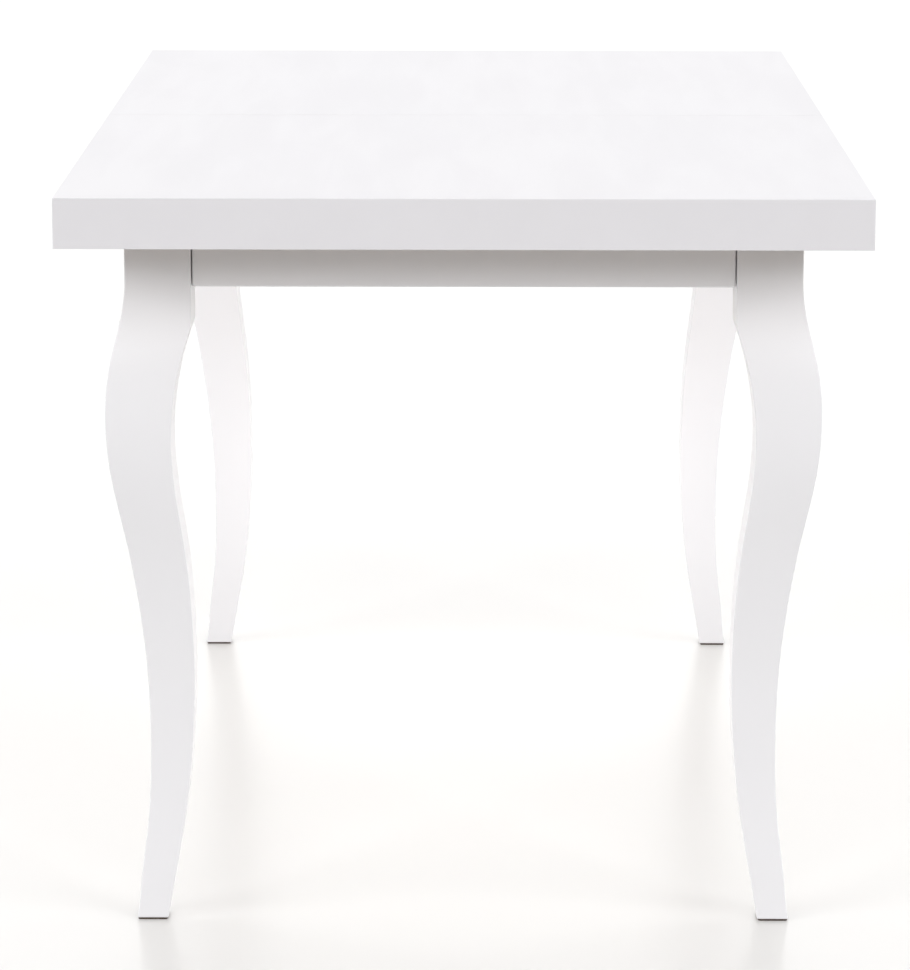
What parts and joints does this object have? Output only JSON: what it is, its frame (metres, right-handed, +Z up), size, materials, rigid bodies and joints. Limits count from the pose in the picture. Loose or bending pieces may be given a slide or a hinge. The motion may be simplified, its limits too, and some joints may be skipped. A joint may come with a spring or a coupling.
{
  "type": "extendable dining table",
  "caption": "Rectangular dining table with curved tapering legs, framed aprons and a sliding split top that opens to take a stowed leaf.",
  "frame": {"origin": "floor level, under the centre of the closed top", "axes": "+X to the right across the table, +Y along its length towards the rear end (the end nearer the viewer is -Y), +Z up"},
  "size_m": [0.8, 1.4, 0.75],
  "materials": {
    "white_lacquer": "opaque white satin lacquer over board and solid wood",
    "raw_wood": "planed beech, clear sealed",
    "steel": "zinc plated pressed sheet",
    "zinc_steel": "bright zinc plated",
    "aluminium": "mill finish extrusion",
    "nylon": "natural moulded plastic",
    "felt": "pressed felt strip",
    "glide_pad": "dark brown pressed felt pad"
  },
  "bodies": {
    "frame": {"front_left_leg": "white_lacquer", "front_right_leg": "white_lacquer", "rear_left_leg": "white_lacquer", "rear_right_leg": "white_lacquer", "front_apron": "white_lacquer", "rear_apron": "white_lacquer", "left_apron": "white_lacquer", "right_apron": "white_lacquer", "foot_pads": "glide_pad", "corner_brackets": "steel", "bracket_screws": "zinc_steel", "hanger_bolts": "zinc_steel", "bolt_nuts": "zinc_steel", "bolt_washers": "zinc_steel", "channel_screws": "zinc_steel", "post_screws": "zinc_steel", "left_channel": "aluminium", "right_channel": "aluminium", "slide_stops": "nylon", "front_cross_rail": "raw_wood", "middle_cross_rail": "raw_wood", "rear_cross_rail": "raw_wood", "pinion_posts": "raw_wood", "leaf_felts": "felt", "leaf_guides": "nylon", "pinion_axles": "steel"},
    "front_top": {"front_panel": "white_lacquer", "front_end_skirt": "white_lacquer", "front_left_skirt": "white_lacquer", "front_right_skirt": "white_lacquer", "front_battens": "raw_wood", "front_left_runner": "aluminium", "front_right_runner": "aluminium", "front_gliders": "nylon", "front_racks": "nylon", "front_top_screws": "zinc_steel", "seam_pins": "raw_wood", "catch_brackets": "steel", "catch_pins": "zinc_steel"},
    "rear_top": {"rear_panel": "white_lacquer", "rear_end_skirt": "white_lacquer", "rear_left_skirt": "white_lacquer", "rear_right_skirt": "white_lacquer", "rear_battens": "raw_wood", "rear_left_runner": "aluminium", "rear_right_runner": "aluminium", "rear_gliders": "nylon", "rear_racks": "nylon", "rear_top_screws": "zinc_steel", "catch_strikes": "steel"},
    "right_pinion": {"right_pinion": "nylon"},
    "left_pinion": {"left_pinion": "nylon"},
    "right_catch": {"right_catch_hook": "steel"},
    "left_catch": {"left_catch_hook": "steel"},
    "leaf": {"leaf_panel": "white_lacquer", "leaf_front_skirt": "white_lacquer", "leaf_rear_skirt": "white_lacquer", "leaf_pins": "raw_wood"}
  },
  "joints": [
    {"name": "front_top_slide", "type": "slide", "parent": "frame", "child": "front_top", "axis": [0, -1, 0], "range_m": [0, 0.2]},
    {"name": "rear_top_slide", "type": "slide", "parent": "frame", "child": "rear_top", "axis": [0, 1, 0], "range_m": [0, 0.2]},
    {"name": "right_pinion_spin", "type": "hinge", "parent": "frame", "child": "right_pinion", "pos_m": [0.24, 0, 0.72], "axis": [0, 0, 1], "range_deg": [-575, 0]},
    {"name": "left_pinion_spin", "type": "hinge", "parent": "frame", "child": "left_pinion", "pos_m": [-0.24, 0, 0.72], "axis": [0, 0, 1], "range_deg": [0, 575]},
    {"name": "right_catch_turn", "type": "hinge", "parent": "front_top", "child": "right_catch", "pos_m": [0.356, -0.025, 0.721], "axis": [1, 0, 0], "range_deg": [0, 180]},
    {"name": "left_catch_turn", "type": "hinge", "parent": "front_top", "child": "left_catch", "pos_m": [-0.356, -0.025, 0.721], "axis": [1, 0, 0], "range_deg": [0, 180]},
    {"name": "leaf_slide", "type": "slide", "parent": "frame", "child": "leaf", "axis": [0, 1, 0], "range_m": [-0.2, 0.2]}
  ],
  "couplings": [
    {"joint": "rear_top_slide", "follows": "front_top_slide", "ratio": 1},
    {"joint": "right_pinion_spin", "follows": "front_top_slide", "rad_per_m": -50},
    {"joint": "left_pinion_spin", "follows": "front_top_slide", "rad_per_m": 50}
  ]
}
